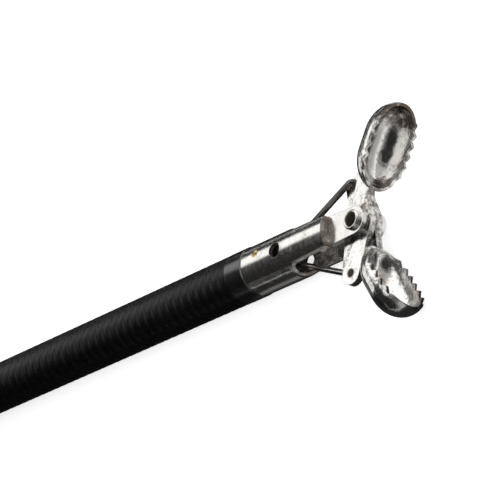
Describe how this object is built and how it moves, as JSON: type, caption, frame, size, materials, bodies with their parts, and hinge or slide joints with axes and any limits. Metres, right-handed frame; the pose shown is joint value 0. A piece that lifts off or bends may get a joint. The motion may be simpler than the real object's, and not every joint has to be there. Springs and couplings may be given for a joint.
{
  "type": "biopsy forceps",
  "caption": "Flexible endoscopic biopsy forceps with toothed cup jaws on a riveted clevis, pull wires, a coated coil sheath and a spool-and-thumb-ring handle.",
  "frame": {"origin": "on the shaft's axis in the middle of the steel skirt behind the clevis", "axes": "+X along the shaft towards the jaws, +Z along the pivot rivet (up when the forceps lies on a table), +Y towards the upper jaw"},
  "size_m": [0.244, 0.0349, 0.027],
  "materials": {
    "clevis_steel": "machined tube, polished, with faint turning lines",
    "rivet_steel": "polished rivet heads",
    "jaw_steel": "bright electropolished steel",
    "wire_steel": "drawn wire",
    "collar_black": "smooth glossy black",
    "sheath_black": "black coating over coil, fine rings",
    "tie_white": "matte strap",
    "boot_black": "matte elastomer",
    "cap_metal": "satin, fluted",
    "bush_brass": "turned",
    "shaft_plastic": "fine satin moulding",
    "rod_steel": "drawn tube",
    "spool_plastic": "fine satin moulding",
    "pin_steel": "ground",
    "clamp_brass": "turned",
    "screw_steel": "blackened",
    "bumper_rubber": "soft matte",
    "band_blue": "glossy plain band",
    "ring_plastic": "fine satin moulding"
  },
  "bodies": {
    "base": {"clevis": "clevis_steel", "pivot_rivet": "rivet_steel", "sheath_collar": "collar_black", "sheath_front": "sheath_black", "sheath_coil": "sheath_black", "sheath_rear": "sheath_black", "coil_tie_left": "tie_white", "coil_tie_right": "tie_white", "strain_relief": "boot_black", "nose_cap": "cap_metal", "guide_bush": "bush_brass", "handle_shaft": "shaft_plastic", "bumper_front": "bumper_rubber", "bumper_rear": "bumper_rubber", "size_band": "band_blue", "thumb_ring": "ring_plastic", "ring_dowel": "pin_steel"},
    "upper_jaw": {"jaw_upper": "jaw_steel"},
    "lower_jaw": {"jaw_lower": "jaw_steel"},
    "upper_wire": {"wire_upper": "wire_steel"},
    "lower_wire": {"wire_lower": "wire_steel"},
    "spool": {"spool_half_left": "spool_plastic", "spool_half_right": "spool_plastic", "cross_pin": "pin_steel", "wire_clamp": "clamp_brass", "clamp_screw": "screw_steel", "push_rod": "rod_steel"}
  },
  "joints": [
    {"name": "spool_slide", "type": "slide", "parent": "base", "child": "spool", "axis": [-1, 0, 0], "range_m": [0, 0.008]},
    {"name": "upper_jaw_hinge", "type": "hinge", "parent": "base", "child": "upper_jaw", "pos_m": [0.00525, 0, 0], "axis": [0, 0, 1], "range_deg": [-60, 0]},
    {"name": "lower_jaw_hinge", "type": "hinge", "parent": "base", "child": "lower_jaw", "pos_m": [0.00525, 0, 0], "axis": [0, 0, 1], "range_deg": [0, 60]},
    {"name": "upper_wire_hinge", "type": "hinge", "parent": "upper_jaw", "child": "upper_wire", "pos_m": [0.00472, -0.00194, 0], "axis": [0, 0, 1], "range_deg": [0, 70.8]},
    {"name": "lower_wire_hinge", "type": "hinge", "parent": "lower_jaw", "child": "lower_wire", "pos_m": [0.00472, 0.00194, 0], "axis": [0, 0, 1], "range_deg": [-70.8, 0]}
  ],
  "couplings": [
    {"joint": "upper_jaw_hinge", "follows": "spool_slide", "rad_per_m": -130.9},
    {"joint": "lower_jaw_hinge", "follows": "spool_slide", "rad_per_m": 130.9},
    {"joint": "upper_wire_hinge", "follows": "spool_slide", "rad_per_m": 154.46},
    {"joint": "lower_wire_hinge", "follows": "spool_slide", "rad_per_m": -154.46}
  ]
}
